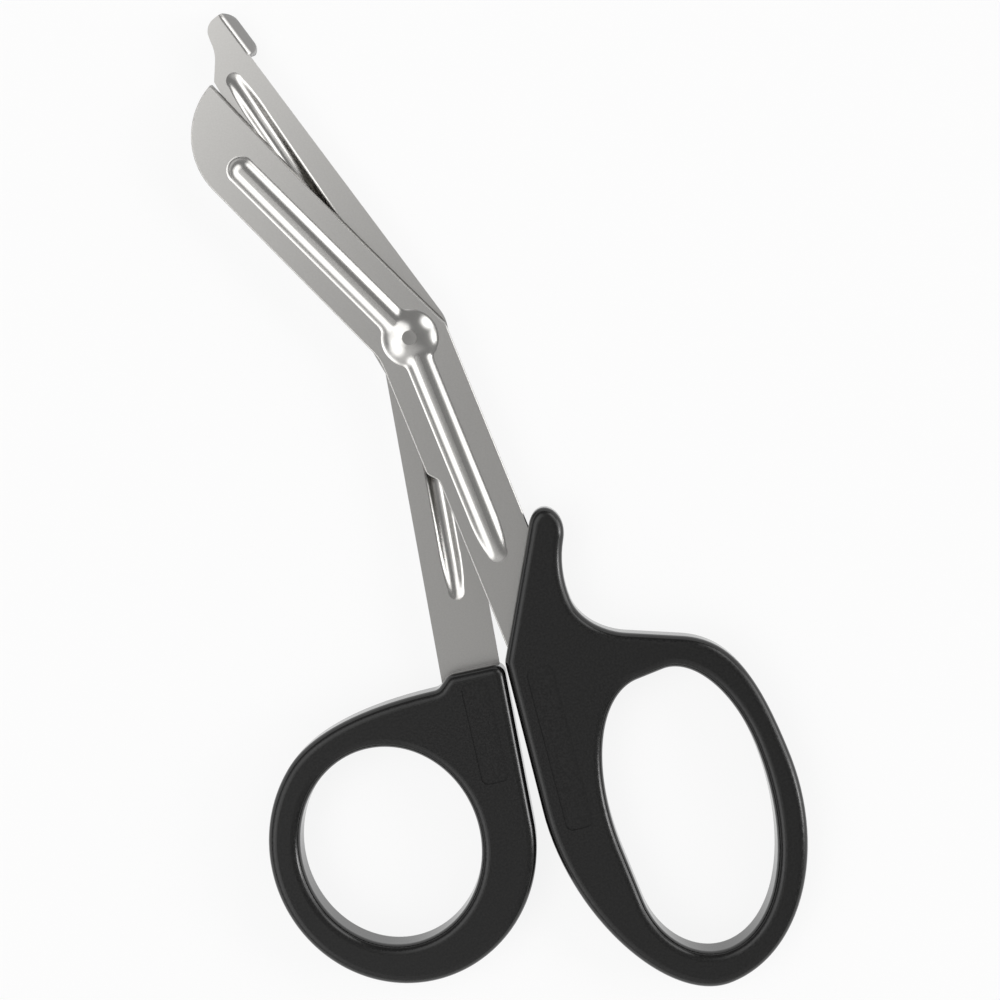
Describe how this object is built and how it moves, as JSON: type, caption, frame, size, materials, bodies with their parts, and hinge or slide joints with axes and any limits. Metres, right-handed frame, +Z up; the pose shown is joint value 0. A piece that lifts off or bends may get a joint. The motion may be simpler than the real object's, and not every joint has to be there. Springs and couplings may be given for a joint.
{
  "type": "bandage scissors",
  "caption": "Bandage scissors with angled stamped steel blades, a folded blunt foot on the lower blade, a riveted pivot and moulded plastic finger and thumb loops.",
  "frame": {"origin": "bottom centre of the bounding box of the closed scissors lying on a table", "axes": "+Y from the handles towards the blade tips, along the line halfway between the two tangs, +Z up out of the flat of the blades, +X towards the finger loop"},
  "size_m": [0.0914, 0.1838, 0.008],
  "materials": {
    "blade_steel": "satin ground flats with polished pressed beads",
    "rivet_steel": "satin",
    "handle_plastic": "fine matte grain, black"
  },
  "bodies": {
    "lower_half": {"lower_blade": "blade_steel", "thumb_handle": "handle_plastic"},
    "upper_half": {"upper_blade": "blade_steel", "finger_handle": "handle_plastic", "pivot_rivet": "rivet_steel"}
  },
  "joints": [
    {"name": "pivot", "type": "hinge", "parent": "lower_half", "child": "upper_half", "pos_m": [0.00294, 0.02959, 0.004], "axis": [0, 0, 1], "range_deg": [0, 60]}
  ]
}
